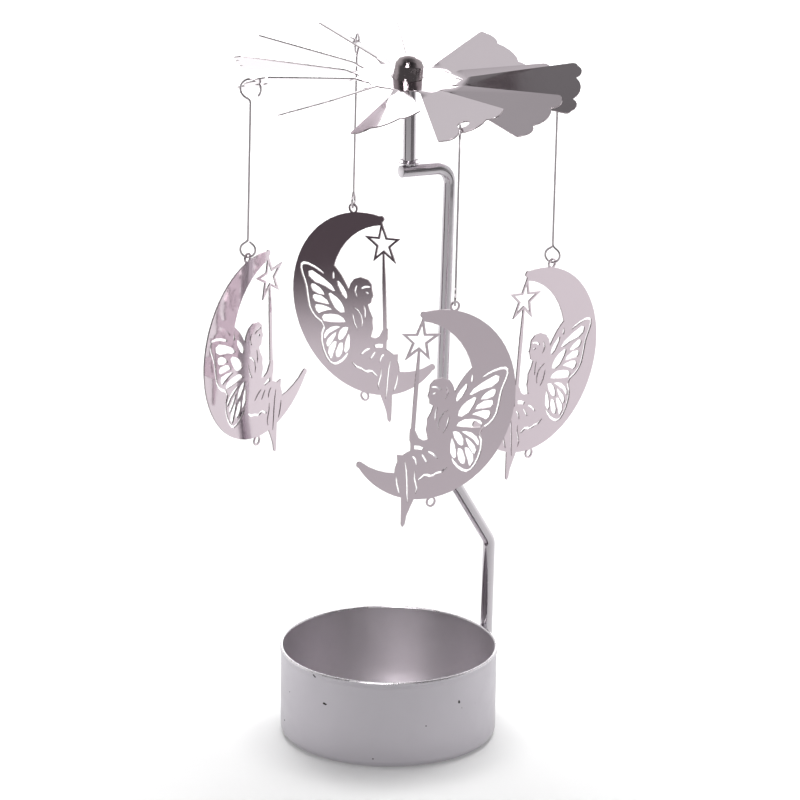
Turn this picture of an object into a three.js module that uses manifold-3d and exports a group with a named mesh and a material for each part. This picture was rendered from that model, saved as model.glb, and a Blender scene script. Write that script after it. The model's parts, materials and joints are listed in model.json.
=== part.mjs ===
// Candle carousel: a tealight cup with a bent mast, a needle, and a slit fan that turns on it.
// Four moon charms hang from the fan on wire hangers. Lengths are in millimetres, angles in degrees.
// The origin is the centre of the cup's underside, +Z is up, and the front faces -Y.

import * as THREE from 'three';
import { mergeVertices } from 'three/addons/utils/BufferGeometryUtils.js';
import Module from 'manifold-3d';

const wasm = await Module();
wasm.setup();

// Clearance between pieces that seat on, pass through or hang in each other
const seatGap = 0.3;
// How far a cutting solid reaches past the face that it cuts
const cutOverrun = 1;

// Tealight cup
const cupRimRadius = 20.5;
const cupBeadInset = 0.2;
const cupBeadDepth = 1.1;
const cupRimWall = 0.5;
const cupWall = 0.4;
const cupFloor = 0.6;
const cupHeight = 17.3;
const cupBottomRadius = 1.5;
const cupSides = 56;

// Mast: one bent rod in an upright plane through the cup's axis
const mastRadius = 1.16;
const mastAzimuth = 33;
const mastFootHeight = 3;
const mastLegLean = 0.6;
const mastLowerBendHeight = 33.9;
const mastUpperBendRadius = 11;
const mastUpperBendHeight = 52.3;
const mastTopRadius = 12.4;
const mastTopHeight = 109.1;
const mastArmEndRadius = 1.55;
const mastArmRise = 0.9;
const mastBendRadius = 3.2;
const mastSides = 14;
const bendSteps = 3;

// Fillet of braze that holds the mast's foot to the cup
const weldHeight = 9;
const weldThickness = 0.55;
const weldToe = 1;
const weldSides = 20;

// Needle post and the dished washer round its root
const needleAxisRadius = 3.4;
const postRadius = 1.22;
const postLength = 16.15;
const needleTaper = 5;
const needleTipRadius = 0.2;
const collarOuterRadius = 2.15;
const collarDish = 0.16;
const collarThickness = 0.22;
const turnedSides = 20;

// Rotor: how far its hub hangs below and beside the needle's tip, and how it leans
const hubDrop = 3.35;
const hubOffset = 0.5;
const fanNearSideUp = 0.97;
const fanRightSideDown = 3.61;
const capExtraLean = 4.5;

// Pivot cap: a cup pressed from thick sheet, open below, with a flange under the hub
const capRadius = 2.8;
const capTopRadius = 2.64;
const capWall = 0.45;
const capHeight = 4.25;
const capDomeHeight = 1.35;
const capShoulder = 0.35;
const capFlangeWidth = 0.65;
const capFlangeThickness = 0.3;
const capFlangeDrop = 0.65;
const capDimpleDepth = 0.5;

// Fan: one sheet, slit into blades that are twisted at their roots
const bladeCount = 12;
const firstBladeAzimuth = -67.5;
const fanSheet = 0.25;
const hubRadius = 8.75;
const slotEndReach = 10;
const bladeSideStart = 4.3;
const twistEndRadius = 11.6;
const twistSteps = 7;
const bladePitch = 24.6;
const bladeLift = -1.2;
const bladeCornerReach = 30.5;
const bladeCornerHalfWidth = 6.9;
const bladeCornerRounding = 0.9;
const bladeNotchReach = 30.8;
const bladeNotchHalfWidth = 2.85;
const middleLobeRise = 1.2;
const sideLobeRise = 0.9;
const lobeSteps = 5;
// Blades that were bent away from the rest, by their number counted from the front one
const bladeExtraLift = { 2: 5, 3: -7, 9: 1.5 };
const bladeExtraPitch = { 2: 4 };
const bladeExtraTurn = { 6: -1.2 };

// Hook holes, in every third blade
const hookedBlades = [0, 3, 6, 9];
const hookHoleReach = 28.5;
const hookHoleOffset = -0.85;
const hookHoleRadius = 1.17;
const hookHoleSides = 14;

// Hangers: a hook, a straight wire and an eye loop, bent in one plane
const wireRadius = 0.2;
const wireSides = 6;
const hookRadius = 1.9;
const hookTipAngle = 42;
const hookKinkShare = 1.13;
const hangerDrop = 32.3;
const loopRadius = 1.4;
const loopKinkShare = 1.25;
const kinkRounding = 0.5;
const loopEndGap = 0.35;
const hookArcSteps = 9;
const loopArcSteps = 10;
// The wires hang a little off the cup's axis
const hangerLean = 0.8;
// Where each hook's inner limb stands in its hole, how far the hook's centre lies below the sheet,
// and how far the hanger has turned from its blade's direction
const hookSeats = [
  { along: 0.1, across: -0.7, depth: 1.1, turn: -24.5 },
  { along: 0.5, across: 0.1, depth: 1.4, turn: -39.5 },
  { along: 0.5, across: -0.3, depth: 1.1, turn: -32.5 },
  { along: 0.4, across: -0.1, depth: 1.1, turn: -32.5 },
];

// Charms: one pierced sheet each, hung by the ring on its upper edge
const charmSheet = 0.3;
const moonDiameter = 35.8;
const ringHoleRadius = 0.7;
const ringWidth = 0.32;
const ringSides = 12;
const ringRise = 0.74;
const eyeRingAngle = 75.7;
const footRingAngle = -88.6;
const moonArcSteps = 44;
const bayArcSteps = 26;
// Which way the back of each moon points, and how it leans in and across its own plane
const charmAzimuths = [30.5, 46.2, 145.1, 236.4];
const charmRolls = [-1.1, -0.5, 1.6, 0.1];
const charmLeans = [0.6, -1.6, -0.1, 1];

const group = new THREE.Group();

const chrome = () => new THREE.MeshStandardMaterial({ color: 0x8f8c8e, metalness: 1, roughness: 0.12 });
const darkChrome = () => new THREE.MeshStandardMaterial({ color: 0x5c5358, metalness: 1, roughness: 0.1 });
const satinSteel = () => new THREE.MeshStandardMaterial({ color: 0xb9b6b8, metalness: 1, roughness: 0.4 });
const mauveSteel = () => new THREE.MeshStandardMaterial({ color: 0xb3a9ae, metalness: 1, roughness: 0.25 });

function radians(degrees) {
  return THREE.MathUtils.degToRad(degrees);
}

function addPiece(parent, name, geometry, material) {
  const mesh = new THREE.Mesh(geometry, material);
  mesh.name = name;
  parent.add(mesh);
  return mesh;
}

// Closed geometry to a solid that can be joined and cut, and back
function toSolid(geometry) {
  const bare = geometry.index ? geometry.toNonIndexed() : geometry.clone();
  bare.deleteAttribute('normal');
  bare.deleteAttribute('uv');
  const merged = mergeVertices(bare);
  return new wasm.Manifold(new wasm.Mesh({
    numProp: 3,
    vertProperties: new Float32Array(merged.attributes.position.array),
    triVerts: new Uint32Array(merged.index.array),
  }));
}

function toGeometry(solid) {
  const { numProp, vertProperties, triVerts } = solid.getMesh();
  const positions = new Float32Array((vertProperties.length / numProp) * 3);
  for (let i = 0; i < positions.length / 3; i += 1) {
    positions.set(vertProperties.slice(i * numProp, i * numProp + 3), i * 3);
  }
  const geometry = new THREE.BufferGeometry();
  geometry.setAttribute('position', new THREE.BufferAttribute(positions, 3));
  geometry.setIndex(new THREE.BufferAttribute(new Uint32Array(triVerts), 1));
  geometry.computeVertexNormals();
  return geometry;
}

function joined(geometries) {
  return geometries.map(toSolid).reduce((whole, next) => whole.add(next));
}

// A profile of (radius, height) points turned about Z
function turned(profile, sides) {
  const geometry = new THREE.LatheGeometry(profile, sides);
  geometry.rotateX(Math.PI / 2);
  return geometry;
}

// Points of an arc in a profile, from one angle to another
function arcPoints(centreX, centreY, radius, from, to, steps) {
  const points = [];
  for (let i = 0; i <= steps; i += 1) {
    const angle = radians(from + ((to - from) * i) / steps);
    points.push(new THREE.Vector2(centreX + radius * Math.cos(angle), centreY + radius * Math.sin(angle)));
  }
  return points;
}

// Centre line of a bent rod: it has stations only where the rod bends, and lies in its own XZ plane
class RodLine extends THREE.Curve {
  constructor(path, steps) {
    super();
    this.stations = path.getPoints(steps).map((point) => new THREE.Vector3(point.x, 0, point.y));
  }

  getSpacedPoints() {
    return this.stations;
  }

  computeFrenetFrames() {
    const across = new THREE.Vector3(0, 1, 0);
    const runs = this.stations.slice(1).map((point, i) => point.clone().sub(this.stations[i]).normalize());
    const tangents = this.stations.map((point, i) => {
      const before = runs[Math.max(i - 1, 0)];
      const after = runs[Math.min(i, runs.length - 1)];
      return before.clone().add(after).normalize();
    });
    const normals = tangents.map((tangent) => across.clone().cross(tangent));
    return { tangents, normals, binormals: tangents.map(() => across) };
  }
}

function rodAlong(path, steps, radius, sides) {
  const section = new THREE.Shape(arcPoints(0, 0, radius, 0, 360, sides).slice(0, sides));
  const line = new RodLine(path, steps);
  return new THREE.ExtrudeGeometry(section, { steps: line.stations.length - 1, extrudePath: line });
}

// Straight runs from corner to corner, joined by arcs of one bend radius
function bentPath(corners, bendRadius) {
  const path = new THREE.Path();
  path.moveTo(corners[0].x, corners[0].y);
  for (let i = 1; i < corners.length - 1; i += 1) {
    const back = corners[i - 1].clone().sub(corners[i]).normalize();
    const ahead = corners[i + 1].clone().sub(corners[i]).normalize();
    const halfAngle = back.angleTo(ahead) / 2;
    const start = corners[i].clone().addScaledVector(back, bendRadius / Math.tan(halfAngle));
    const end = corners[i].clone().addScaledVector(ahead, bendRadius / Math.tan(halfAngle));
    const inward = back.clone().add(ahead).normalize();
    const centre = corners[i].clone().addScaledVector(inward, bendRadius / Math.sin(halfAngle));
    const startAngle = start.clone().sub(centre).angle();
    const endAngle = end.clone().sub(centre).angle();
    path.lineTo(start.x, start.y);
    path.absarc(centre.x, centre.y, bendRadius, startAngle, endAngle, back.cross(ahead) > 0);
  }
  const last = corners[corners.length - 1];
  path.lineTo(last.x, last.y);
  return path;
}

function cupGeometry() {
  const body = cupRimRadius - cupBeadInset;
  const rimInner = cupRimRadius - cupRimWall;
  const lip = cupRimWall / 2;
  const inner = body - cupWall;
  return turned([
    new THREE.Vector2(0, 0),
    ...arcPoints(body - cupBottomRadius, cupBottomRadius, cupBottomRadius, -90, 0, 5),
    new THREE.Vector2(body, cupHeight - cupBeadDepth - cupBeadInset),
    new THREE.Vector2(cupRimRadius, cupHeight - cupBeadDepth),
    ...arcPoints(rimInner + lip, cupHeight - lip, lip, 0, 180, 4),
    new THREE.Vector2(inner, cupHeight - cupBeadDepth - cupBeadInset),
    ...arcPoints(inner - cupBottomRadius, cupFloor + cupBottomRadius, cupBottomRadius, 0, -90, 4),
    new THREE.Vector2(0, cupFloor),
  ], cupSides);
}

function mastCorners(footDrop = 0) {
  const legRadius = cupRimRadius - cupBeadInset + seatGap + mastRadius;
  return [
    new THREE.Vector2(legRadius, mastFootHeight - footDrop),
    new THREE.Vector2(legRadius + mastLegLean, mastLowerBendHeight),
    new THREE.Vector2(mastUpperBendRadius, mastUpperBendHeight),
    new THREE.Vector2(mastTopRadius, mastTopHeight),
    new THREE.Vector2(mastArmEndRadius, mastTopHeight + mastArmRise),
  ];
}

// Height of the arm's centre line over a point at this distance from the cup's axis
function armHeight(radius) {
  const share = (mastTopRadius - radius) / (mastTopRadius - mastArmEndRadius);
  return mastTopHeight + mastArmRise * share;
}

// With an allowance it is the room that the rod needs round it
function mastGeometry(allowance = 0) {
  const path = bentPath(mastCorners(allowance), mastBendRadius);
  return rodAlong(path, bendSteps, mastRadius + allowance, mastSides);
}

// The fillet hugs the rod's cup side and closes under its foot, cut clear of both
function weldGeometry() {
  const [foot] = mastCorners();
  const outer = mastRadius + seatGap + weldThickness;
  const bottom = foot.y - seatGap - weldToe;
  const bead = turned([
    new THREE.Vector2(0, bottom),
    ...arcPoints(outer - weldToe, bottom + weldToe, weldToe, -90, 0, 3),
    ...arcPoints(outer - weldThickness, bottom + weldHeight - weldThickness, weldThickness, 0, 90, 3),
    new THREE.Vector2(0, bottom + weldHeight),
  ], weldSides);
  bead.translate(foot.x, 0, 0);
  const farSide = new THREE.BoxGeometry(outer, outer * 2 + cutOverrun, cupHeight * 2);
  farSide.translate(foot.x + outer / 2, 0, cupHeight / 2);
  const cupRoom = new THREE.CylinderGeometry(
    cupRimRadius - cupBeadInset + seatGap,
    cupRimRadius - cupBeadInset + seatGap,
    cupHeight * 2,
    cupSides * 2,
  );
  cupRoom.rotateX(Math.PI / 2);
  const solid = toSolid(bead)
    .subtract(toSolid(farSide))
    .subtract(toSolid(cupRoom))
    .subtract(toSolid(mastGeometry(seatGap)));
  return toGeometry(solid);
}

function needleTipHeight() {
  return armHeight(needleAxisRadius) + postLength + needleTaper;
}

function postGeometry() {
  const root = armHeight(needleAxisRadius);
  const post = turned([
    new THREE.Vector2(0, root),
    new THREE.Vector2(postRadius, root),
    new THREE.Vector2(postRadius, root + postLength),
    new THREE.Vector2(needleTipRadius, needleTipHeight() - needleTipRadius),
    new THREE.Vector2(0, needleTipHeight()),
  ], turnedSides);
  post.translate(needleAxisRadius, 0, 0);
  return toGeometry(toSolid(post).subtract(toSolid(mastGeometry(seatGap))));
}

// A dished washer: its rim is turned up
function collarGeometry() {
  const inner = postRadius + seatGap;
  const seat = armHeight(needleAxisRadius - collarOuterRadius) + mastRadius + seatGap;
  const collar = turned([
    new THREE.Vector2(inner, seat),
    new THREE.Vector2(collarOuterRadius, seat + collarDish),
    new THREE.Vector2(collarOuterRadius, seat + collarDish + collarThickness),
    new THREE.Vector2(inner, seat + collarThickness),
    new THREE.Vector2(inner, seat),
  ], turnedSides);
  collar.translate(needleAxisRadius, 0, 0);
  return collar;
}

// The dimple inside the dome holds the needle's tip
function capGeometry() {
  const flangeBottom = -(capFlangeDrop + capFlangeThickness);
  const shoulderHeight = capHeight - capDomeHeight;
  const domeRadius = (capTopRadius ** 2 + capDomeHeight ** 2) / (2 * capDomeHeight);
  const domeEdge = THREE.MathUtils.radToDeg(Math.asin((capTopRadius - capShoulder) / domeRadius));
  const dimpleTop = hubDrop + seatGap;
  return turned([
    new THREE.Vector2(0, dimpleTop),
    new THREE.Vector2(capTopRadius - capWall, dimpleTop - capDimpleDepth),
    new THREE.Vector2(capRadius - capWall, flangeBottom),
    new THREE.Vector2(capRadius + capFlangeWidth, flangeBottom),
    new THREE.Vector2(capRadius + capFlangeWidth, -capFlangeDrop),
    new THREE.Vector2(capRadius, -capFlangeDrop),
    new THREE.Vector2(capTopRadius, shoulderHeight - capShoulder),
    ...arcPoints(0, capHeight - domeRadius, domeRadius, 90 - domeEdge, 90, 5),
  ], turnedSides);
}

// Outline of a blade past its twist, lying along +X, with three scallops on its outer end
function bladeShape(hooked) {
  const shape = new THREE.Shape();
  const lobe = (from, to, rise) => {
    const chord = to.clone().sub(from);
    const radius = (chord.length() ** 2 / 4 + rise ** 2) / (2 * rise);
    const outward = new THREE.Vector2(chord.y, -chord.x).normalize();
    const centre = from.clone().addScaledVector(chord, 0.5).addScaledVector(outward, rise - radius);
    const start = from.clone().sub(centre).angle();
    let end = to.clone().sub(centre).angle();
    if (end < start) end += Math.PI * 2;
    for (let i = 1; i <= lobeSteps; i += 1) {
      const angle = start + ((end - start) * i) / lobeSteps;
      shape.lineTo(centre.x + radius * Math.cos(angle), centre.y + radius * Math.sin(angle));
    }
  };
  const corner = new THREE.Vector2(bladeCornerReach, bladeCornerHalfWidth);
  const notch = new THREE.Vector2(bladeNotchReach, bladeNotchHalfWidth);
  const rounded = corner.clone().addScaledVector(notch.clone().sub(corner).normalize(), bladeCornerRounding);
  const mirrored = (point) => new THREE.Vector2(point.x, -point.y);
  const beforeCorner = bladeCornerReach - bladeCornerRounding;
  shape.moveTo(twistEndRadius, 0);
  shape.lineTo(twistEndRadius, -bladeHalfWidth(twistEndRadius));
  shape.lineTo(beforeCorner, -bladeHalfWidth(beforeCorner));
  shape.quadraticCurveTo(corner.x, -corner.y, rounded.x + sideLobeRise / 3, -rounded.y);
  lobe(new THREE.Vector2(rounded.x + sideLobeRise / 3, -rounded.y), mirrored(notch), sideLobeRise);
  lobe(mirrored(notch), notch, middleLobeRise);
  lobe(notch, new THREE.Vector2(rounded.x + sideLobeRise / 3, rounded.y), sideLobeRise);
  shape.quadraticCurveTo(corner.x, corner.y, beforeCorner, bladeHalfWidth(beforeCorner));
  shape.lineTo(twistEndRadius, bladeHalfWidth(twistEndRadius));
  shape.lineTo(twistEndRadius, 0);
  if (hooked) {
    const hole = arcPoints(hookHoleReach, hookHoleOffset, hookHoleRadius, 0, 360, hookHoleSides);
    shape.holes.push(new THREE.Path(hole.slice(0, hookHoleSides)));
  }
  return shape;
}

// A blade's sides are straight but for the round ends of the slots beside its root
function bladeHalfWidth(reach) {
  const slope = bladeCornerHalfWidth / (bladeCornerReach - bladeSideStart);
  const slotTurn = Math.PI / bladeCount;
  const slotX = slotEndReach * Math.cos(slotTurn);
  const slotY = slotEndReach * Math.sin(slotTurn);
  const slotRadius = (slotY - slope * (slotX - bladeSideStart)) / Math.hypot(1, slope);
  if (reach >= slotX) return slope * (reach - bladeSideStart);
  return slotY - Math.sqrt(slotRadius ** 2 - (slotX - reach) ** 2);
}

// Where the end of a slot comes nearest to the fan's centre
function slotInnerRadius() {
  const slotTurn = Math.PI / bladeCount;
  const slotX = slotEndReach * Math.cos(slotTurn);
  return slotEndReach - (slotEndReach * Math.sin(slotTurn) - bladeHalfWidth(slotX));
}

// Flat triangles of an outline and its holes
function flatTriangles(shape, steps) {
  const { shape: outline, holes } = shape.extractPoints(steps);
  const clean = outline.filter((point, i) => point.distanceTo(outline[(i + 1) % outline.length]) > fanSheet / 100);
  if (!THREE.ShapeUtils.isClockWise(clean)) clean.reverse();
  clean.reverse();
  const points = clean.concat(...holes);
  return THREE.ShapeUtils.triangulateShape(clean, holes).map((corners) => corners.map((i) => points[i]));
}

// The flat pattern of one blade: a grid through its twist, then its outline
function bladePattern(hooked) {
  const triangles = flatTriangles(bladeShape(hooked), 3);
  const station = (i) => hubRadius + ((twistEndRadius - hubRadius) * i) / twistSteps;
  for (let i = 0; i < twistSteps; i += 1) {
    for (const half of [-1, 0]) {
      const corner = (step, sideStep) => new THREE.Vector2(station(step), bladeHalfWidth(station(step)) * sideStep);
      const near = [corner(i, half), corner(i, half + 1)];
      const far = [corner(i + 1, half), corner(i + 1, half + 1)];
      triangles.push([near[0], far[0], far[1]], [near[0], far[1], near[1]]);
    }
  }
  return triangles;
}

// Twists and lifts a point of a blade that lies along +X
function bendBlade(point, number) {
  const share = THREE.MathUtils.smoothstep(point.x, hubRadius, twistEndRadius);
  const pitch = radians(bladePitch + (bladeExtraPitch[number] ?? 0)) * share;
  const lift = radians(bladeLift + (bladeExtraLift[number] ?? 0)) * share;
  const turn = radians(bladeExtraTurn[number] ?? 0) * share;
  const fold = (hubRadius + twistEndRadius) / 2;
  const across = point.y * Math.cos(pitch) - point.z * Math.sin(pitch);
  const up = point.y * Math.sin(pitch) + point.z * Math.cos(pitch);
  const along = point.x - fold;
  const bent = new THREE.Vector3(
    along * Math.cos(lift) - up * Math.sin(lift),
    across,
    along * Math.sin(lift) + up * Math.cos(lift),
  );
  bent.applyAxisAngle(new THREE.Vector3(0, 0, 1), turn);
  return bent.add(new THREE.Vector3(fold, 0, 0));
}

function bladeAzimuth(number) {
  return firstBladeAzimuth + (360 / bladeCount) * number;
}

// A point of a blade, given flat along +X, in the fan's own frame
function onBlade(flatPoint, number) {
  const turn = radians(bladeAzimuth(number));
  return bendBlade(flatPoint, number).applyAxisAngle(new THREE.Vector3(0, 0, 1), turn);
}

// Flat triangles become a closed plate: two faces and a wall along each free edge
function plateFaces(triangles, place) {
  const key = (point) => `${point.x.toFixed(4)},${point.y.toFixed(4)}`;
  const edges = new Map();
  const faces = [];
  for (const corners of triangles) {
    const top = corners.map((point) => place(point, fanSheet / 2));
    const bottom = corners.map((point) => place(point, -fanSheet / 2));
    faces.push(top, bottom.reverse());
    corners.forEach((point, i) => {
      const next = corners[(i + 1) % 3];
      edges.set(`${key(point)} ${key(next)}`, [point, next]);
    });
  }
  const walls = [];
  for (const [point, next] of edges.values()) {
    if (edges.has(`${key(next)} ${key(point)}`)) continue;
    walls.push([point, next]);
  }
  return { faces, walls };
}

function fanGeometry() {
  const faces = [];
  const walls = [];
  const hubCorners = [];
  for (let number = 0; number < bladeCount; number += 1) {
    const pattern = bladePattern(hookedBlades.includes(number));
    const place = (point, height) => onBlade(new THREE.Vector3(point.x, point.y, height), number);
    const plate = plateFaces(pattern, place);
    faces.push(...plate.faces);
    // The root edge is shared with the hub, so it gets no wall
    const free = plate.walls.filter(([from, to]) => from.x > hubRadius || to.x > hubRadius);
    walls.push(...free.map((edge) => ({ edge, place })));
    const turn = radians(bladeAzimuth(number));
    for (const sideStep of [-1, 0, 1]) {
      const corner = new THREE.Vector2(hubRadius, bladeHalfWidth(hubRadius) * sideStep);
      hubCorners.push(corner.rotateAround(new THREE.Vector2(), turn));
    }
    const slotEnd = new THREE.Vector2(slotInnerRadius(), 0);
    hubCorners.push(slotEnd.rotateAround(new THREE.Vector2(), turn + Math.PI / bladeCount));
  }
  const hub = new THREE.Shape(hubCorners);
  const holeSides = hubCorners.length;
  hub.holes.push(new THREE.Path(arcPoints(0, 0, capRadius + seatGap, 0, 360, holeSides).slice(0, holeSides)));
  const placeHub = (point, height) => new THREE.Vector3(point.x, point.y, height);
  const hubPlate = plateFaces(flatTriangles(hub, 1), placeHub);
  faces.push(...hubPlate.faces);
  const rootMiddles = hubCorners.filter((corner, i) => i % 4 === 1);
  const onRoot = (point) => rootMiddles.some((middle) => middle.distanceTo(point) < fanSheet / 10);
  const hubFree = hubPlate.walls.filter(([from, to]) => !onRoot(from) && !onRoot(to));
  walls.push(...hubFree.map((edge) => ({ edge, place: placeHub })));
  for (const { edge: [from, to], place } of walls) {
    const corners = [place(from, fanSheet / 2), place(to, fanSheet / 2), place(to, -fanSheet / 2), place(from, -fanSheet / 2)];
    faces.push([corners[0], corners[2], corners[1]], [corners[0], corners[3], corners[2]]);
  }
  const geometry = new THREE.BufferGeometry();
  geometry.setFromPoints(faces.flat());
  const merged = mergeVertices(geometry, fanSheet / 1000);
  merged.computeVertexNormals();
  return merged;
}

// Hanger in its own plane: X runs outward from the hole, the origin is the hook's centre
function hangerPath() {
  const hookKink = hookRadius * hookKinkShare;
  const hookExit = 90 - THREE.MathUtils.radToDeg(Math.acos(1 / hookKinkShare));
  const loopCentre = -(hangerDrop - ringHoleRadius + seatGap + wireRadius) + loopRadius;
  const loopKink = loopCentre + loopRadius * loopKinkShare;
  const loopEntry = 90 - THREE.MathUtils.radToDeg(Math.acos(1 / loopKinkShare));
  const path = new THREE.Path();
  const follow = (points) => points.forEach((point) => path.lineTo(point.x, point.y));
  const towards = (from, to, distance) => {
    const step = to.clone().sub(from).normalize().multiplyScalar(distance);
    return from.clone().add(step);
  };
  const hookArc = arcPoints(0, 0, hookRadius, 180 + hookTipAngle, -hookExit, hookArcSteps);
  const loopArc = arcPoints(0, loopCentre, loopRadius, loopEntry, -180 - loopEntry, loopArcSteps);
  const upperKink = new THREE.Vector2(0, -hookKink);
  const lowerKink = new THREE.Vector2(0, loopKink);
  const leave = towards(upperKink, hookArc[hookArc.length - 1], kinkRounding);
  const enter = towards(lowerKink, loopArc[0], kinkRounding);
  const loopEnd = towards(lowerKink, loopArc[loopArc.length - 1], loopEndGap + 2 * wireRadius);
  path.moveTo(hookArc[0].x, hookArc[0].y);
  follow(hookArc.slice(1));
  path.lineTo(leave.x, leave.y);
  path.quadraticCurveTo(upperKink.x, upperKink.y, 0, upperKink.y - kinkRounding);
  path.lineTo(0, lowerKink.y + kinkRounding);
  path.quadraticCurveTo(lowerKink.x, lowerKink.y, enter.x, enter.y);
  follow(loopArc);
  path.lineTo(loopEnd.x, loopEnd.y);
  return path;
}

// Outlines of a charm are drawn on a grid of shares: the moon's diameter is 36 squares.
// X runs from the bay to the back of the moon, Y is up, and the ring's hole is at the origin
// of the finished charm.
const squareShare = 1 / 36;
const square = moonDiameter * squareShare;
const moonCentreShares = [-4.6, -18];
const bayCentreShares = [-9.9, -15.8];
const bayRadiusShare = 14.4;
const hornShares = [[-6.6, -0.55], [-19.45, -27.35]];
const hornRadiusShare = 0.62;

const starCentreShares = [-7.2, -5.45];
const starTurn = 82.4;
const starReachShare = 4.45;
const starWaistShare = 1.7;
const starFrameShare = 0.7;
const starPoints = 5;
const wandShares = [[-7.35, -7.2], [-8.15, -20], [-8.5, -26.4]];
const wandWidthShare = 0.75;

const figureShares = [
  [0.4, -16.3], [0, -14.9], [-0.8, -13.8], [-2.2, -13.15], [-3.9, -13.3], [-4.85, -14.1], [-5, -15.4], [-5.3, -16.3],
  [-4.95, -17], [-4.85, -17.8], [-4.1, -18.3], [-4.5, -19.4], [-5.3, -20.7], [-5.3, -21.8], [-5.5, -22.8],
  [-5.05, -24.6], [-6.1, -24.65], [-7.1, -24], [-7.8, -22.6], [-8.3, -21.8], [-8.9, -22.2], [-8.95, -24.2],
  [-8.5, -25.4], [-8.4, -26.2], [-9.4, -26.5], [-10.3, -26.9], [-11.5, -26.6], [-11.4, -28], [-11.9, -29.2],
  [-12, -31], [-6, -33], [0.5, -31], [1.2, -24], [1, -18],
];
const wingPanelShares = [
  [0.35, -16.4], [1.3, -15], [2.3, -13.7], [3.2, -12.85], [4, -12.2], [6, -15], [5.5, -22], [2, -28], [-1, -29], [-1, -20],
];
const footShares = [
  [-10.45, -33], [-10.4, -38], [-10.4, -40.2], [-10.15, -40.7], [-9.7, -40.3], [-9.35, -38.7], [-8.7, -37.3],
  [-7.9, -35.8], [-7.5, -33],
];

const wingCellShares = [
  [[3.5, -17.2], [4.5, -16.1], [7, -14.95], [9.7, -14.2], [10.05, -15.1], [9.3, -16.2], [6.6, -16.6], [4.3, -17.4]],
  [[6, -18.5], [6.8, -17.5], [8.9, -16.8], [9.3, -17.5], [8.7, -18.4]],
  [[4.8, -20.2], [5.8, -19.1], [8.4, -18.9], [8.8, -19.6], [8.3, -20.3], [6.4, -20.25]],
  [[4.1, -21.1], [5.6, -20.7], [8, -20.9], [8.15, -21.9], [7.3, -22.6], [6.1, -21.8]],
  [[1.15, -21], [1.6, -19.6], [3, -18.4], [5.1, -17.8], [4.7, -19.2], [2.9, -21.2]],
  [[0.85, -22.9], [1.8, -21.95], [4.4, -22], [6.5, -22.9], [6.2, -23.85], [3.2, -23.4]],
  [[0.75, -18.1], [0.75, -17.2], [1.6, -16], [3.1, -14.85], [3, -16], [1.4, -18.1]],
  [[4, -13.3], [4.3, -14], [4.15, -14.9], [3.8, -14.7]],
  [[0.15, -23.85], [1.4, -24.1], [2.5, -25.5], [2.5, -27], [1.2, -26.2]],
  [[-0.05, -25], [0.85, -26.8], [1, -29.2], [-0.2, -28.2]],
  [[1.35, -27.2], [2.3, -27.6], [3.1, -30.3], [2.3, -30.4], [1.4, -29.2]],
  [[2.75, -27.3], [3.6, -27.5], [4.95, -29.8], [4, -31.2], [3.4, -29.6]],
  [[2.9, -25.4], [4, -26.2], [5.35, -28], [5, -29], [3.5, -27]],
  [[2, -24.1], [4, -24.5], [5.9, -26.4], [5.8, -27.5], [4.4, -25.8]],
];
const cellSteps = 9;

// Slots of one width each: the band round the wing, then the figure's hair, eye, arm, dress and legs
const wingBandShares = [
  [6.3, -14.3], [8.2, -13.5], [10.6, -13.05], [11.65, -13.7], [11.3, -15.3], [10.4, -17.2], [9.95, -19.2], [9.3, -21.8],
  [8, -23.3], [5.9, -24.6], [6.4, -27], [5.7, -29.7], [4.3, -31.6], [2.9, -31.8], [1.2, -30.6], [0.1, -29],
];
const wingBandWidthShare = 0.5;
const wingBandSteps = 26;
const fineSlotShares = [
  [[-4.6, -14.6], [-3.5, -14.8], [-2.5, -15.4]],
  [[-4.3, -16], [-3.6, -15.85]],
  [[-1.5, -15], [-1.1, -16.2], [-1.7, -17.3]],
  [[-3.3, -18.6], [-3.6, -19.8], [-3.6, -21.2]],
  [[-1, -19.5], [-2.3, -20.2], [-3, -21.6], [-2.9, -23]],
  [[-0.7, -20.8], [-1.2, -22.6], [-2, -23.8]],
  [[-6.3, -27.3], [-5.7, -28.2], [-5.2, -29]],
  [[-5, -26.9], [-3.9, -27.6], [-3, -28.6]],
  [[-11.65, -30.8], [-11.4, -32.5], [-10.9, -34.1]],
  [[-9.85, -28.2], [-9.4, -30.8], [-9.3, -33.5], [-9.1, -36.1]],
  [[-8.3, -27.4], [-7.7, -28], [-7.4, -29.2]],
  [[-7.75, -30.3], [-7.7, -32.2], [-7.2, -33.4], [-7.5, -34.7]],
];
const fineSlotWidthShare = 0.38;
const fineSlotSteps = 4;
const hemShares = [
  [-7, -32.1], [-6.2, -31.7], [-5.5, -31.3], [-4.8, -31.55], [-4.2, -31.8], [-3.4, -31.4], [-2.2, -31.35], [-1, -30.6],
];
const hemWidthShare = 0.5;
const elbowGapShares = [[-8, -25.3], [-7, -25.5], [-5.9, -26.1], [-6.2, -26.5], [-8, -26.05]];

// The centre of a ring on the moon's edge, from the moon's centre
function ringCentre(angle) {
  const reach = moonDiameter / 2 + ringRise;
  return new THREE.Vector2(reach * Math.cos(radians(angle)), reach * Math.sin(radians(angle)));
}

function gridPoint([x, y]) {
  const fromMoon = new THREE.Vector2(x - moonCentreShares[0], y - moonCentreShares[1]);
  return fromMoon.multiplyScalar(square).sub(ringCentre(eyeRingAngle));
}

// A sheet of an outline, or of several, standing in the XZ plane with its middle on Y = 0
function sheetOf(points, thickness = charmSheet) {
  const geometry = new THREE.ExtrudeGeometry(new THREE.Shape(points), { depth: thickness, bevelEnabled: false });
  geometry.translate(0, 0, -thickness / 2);
  geometry.rotateX(Math.PI / 2);
  return geometry;
}

function cutterOf(points) {
  return sheetOf(points, charmSheet + cutOverrun);
}

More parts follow.
